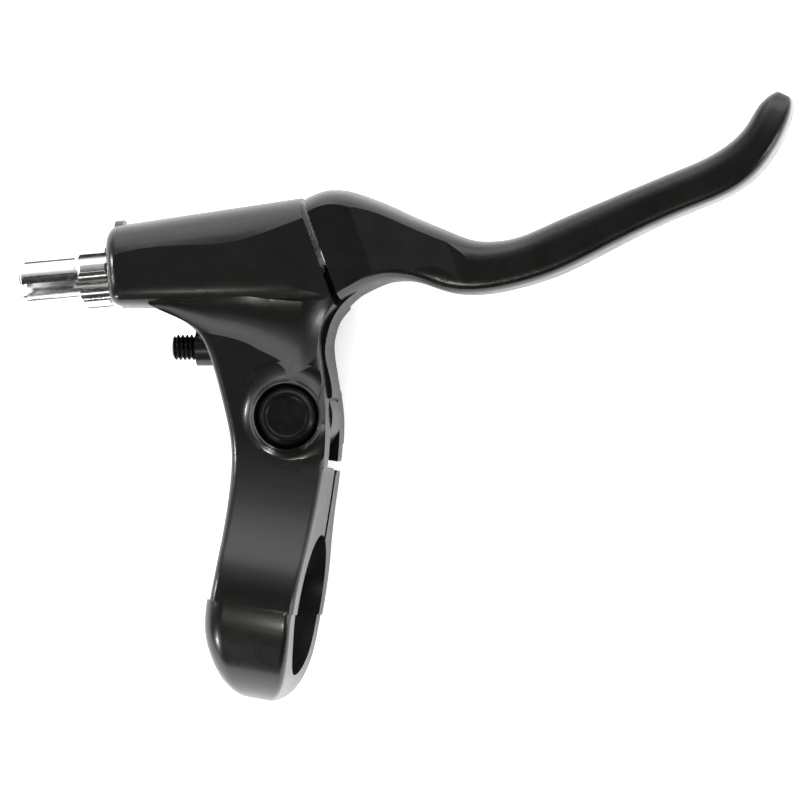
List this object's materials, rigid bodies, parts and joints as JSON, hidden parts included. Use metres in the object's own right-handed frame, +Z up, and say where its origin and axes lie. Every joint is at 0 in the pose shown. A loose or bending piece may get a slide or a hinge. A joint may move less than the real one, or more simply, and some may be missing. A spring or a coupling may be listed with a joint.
{
  "type": "bicycle brake lever",
  "caption": "Two-finger flat-bar cable brake lever with hinged bar clamp bracket, turning cable adjuster with lock nut, reach screw and clamp bolt.",
  "frame": {"origin": "centre of the handlebar clamp's bore, halfway along the clamp", "axes": "+X along the handlebar towards its right-hand end, +Y forwards from the rider, +Z up along the lever's pivot"},
  "size_m": [0.1156, 0.1071, 0.0316],
  "materials": {
    "bracket_black": "satin",
    "lever_black": "satin",
    "pin_black": "satin",
    "screw_black": "satin",
    "adjuster_silver": "satin",
    "nut_silver": "satin",
    "bushing_grey": "matte",
    "washer_steel": "satin"
  },
  "bodies": {
    "clamp_bracket": {"bracket": "bracket_black", "pivot_pin": "pin_black", "pivot_screw": "screw_black", "clamp_washer": "washer_steel", "clamp_bolt": "screw_black"},
    "lever": {"lever_blade": "lever_black", "upper_bushing": "bushing_grey", "lower_bushing": "bushing_grey"},
    "barrel": {"adjusting_barrel": "adjuster_silver"},
    "lock_nut": {"adjuster_nut": "nut_silver"},
    "reach_adjuster": {"reach_screw": "screw_black"}
  },
  "joints": [
    {"name": "lever_pivot", "type": "hinge", "parent": "clamp_bracket", "child": "lever", "pos_m": [0, 0.0285, 0], "axis": [0, 0, -1], "range_deg": [0, 38]},
    {"name": "barrel_turn", "type": "hinge", "parent": "clamp_bracket", "child": "barrel", "pos_m": [-0.03542, 0.04494, 0], "axis": [0.9664, 0.2571, 0], "continuous": true},
    {"name": "lock_nut_turn", "type": "hinge", "parent": "clamp_bracket", "child": "lock_nut", "pos_m": [-0.03542, 0.04494, 0], "axis": [0.9664, 0.2571, 0], "continuous": true},
    {"name": "reach_screw_turn", "type": "hinge", "parent": "clamp_bracket", "child": "reach_adjuster", "pos_m": [-0.0212, 0.036, 0], "axis": [0.9848, 0.1736, 0], "continuous": true}
  ]
}
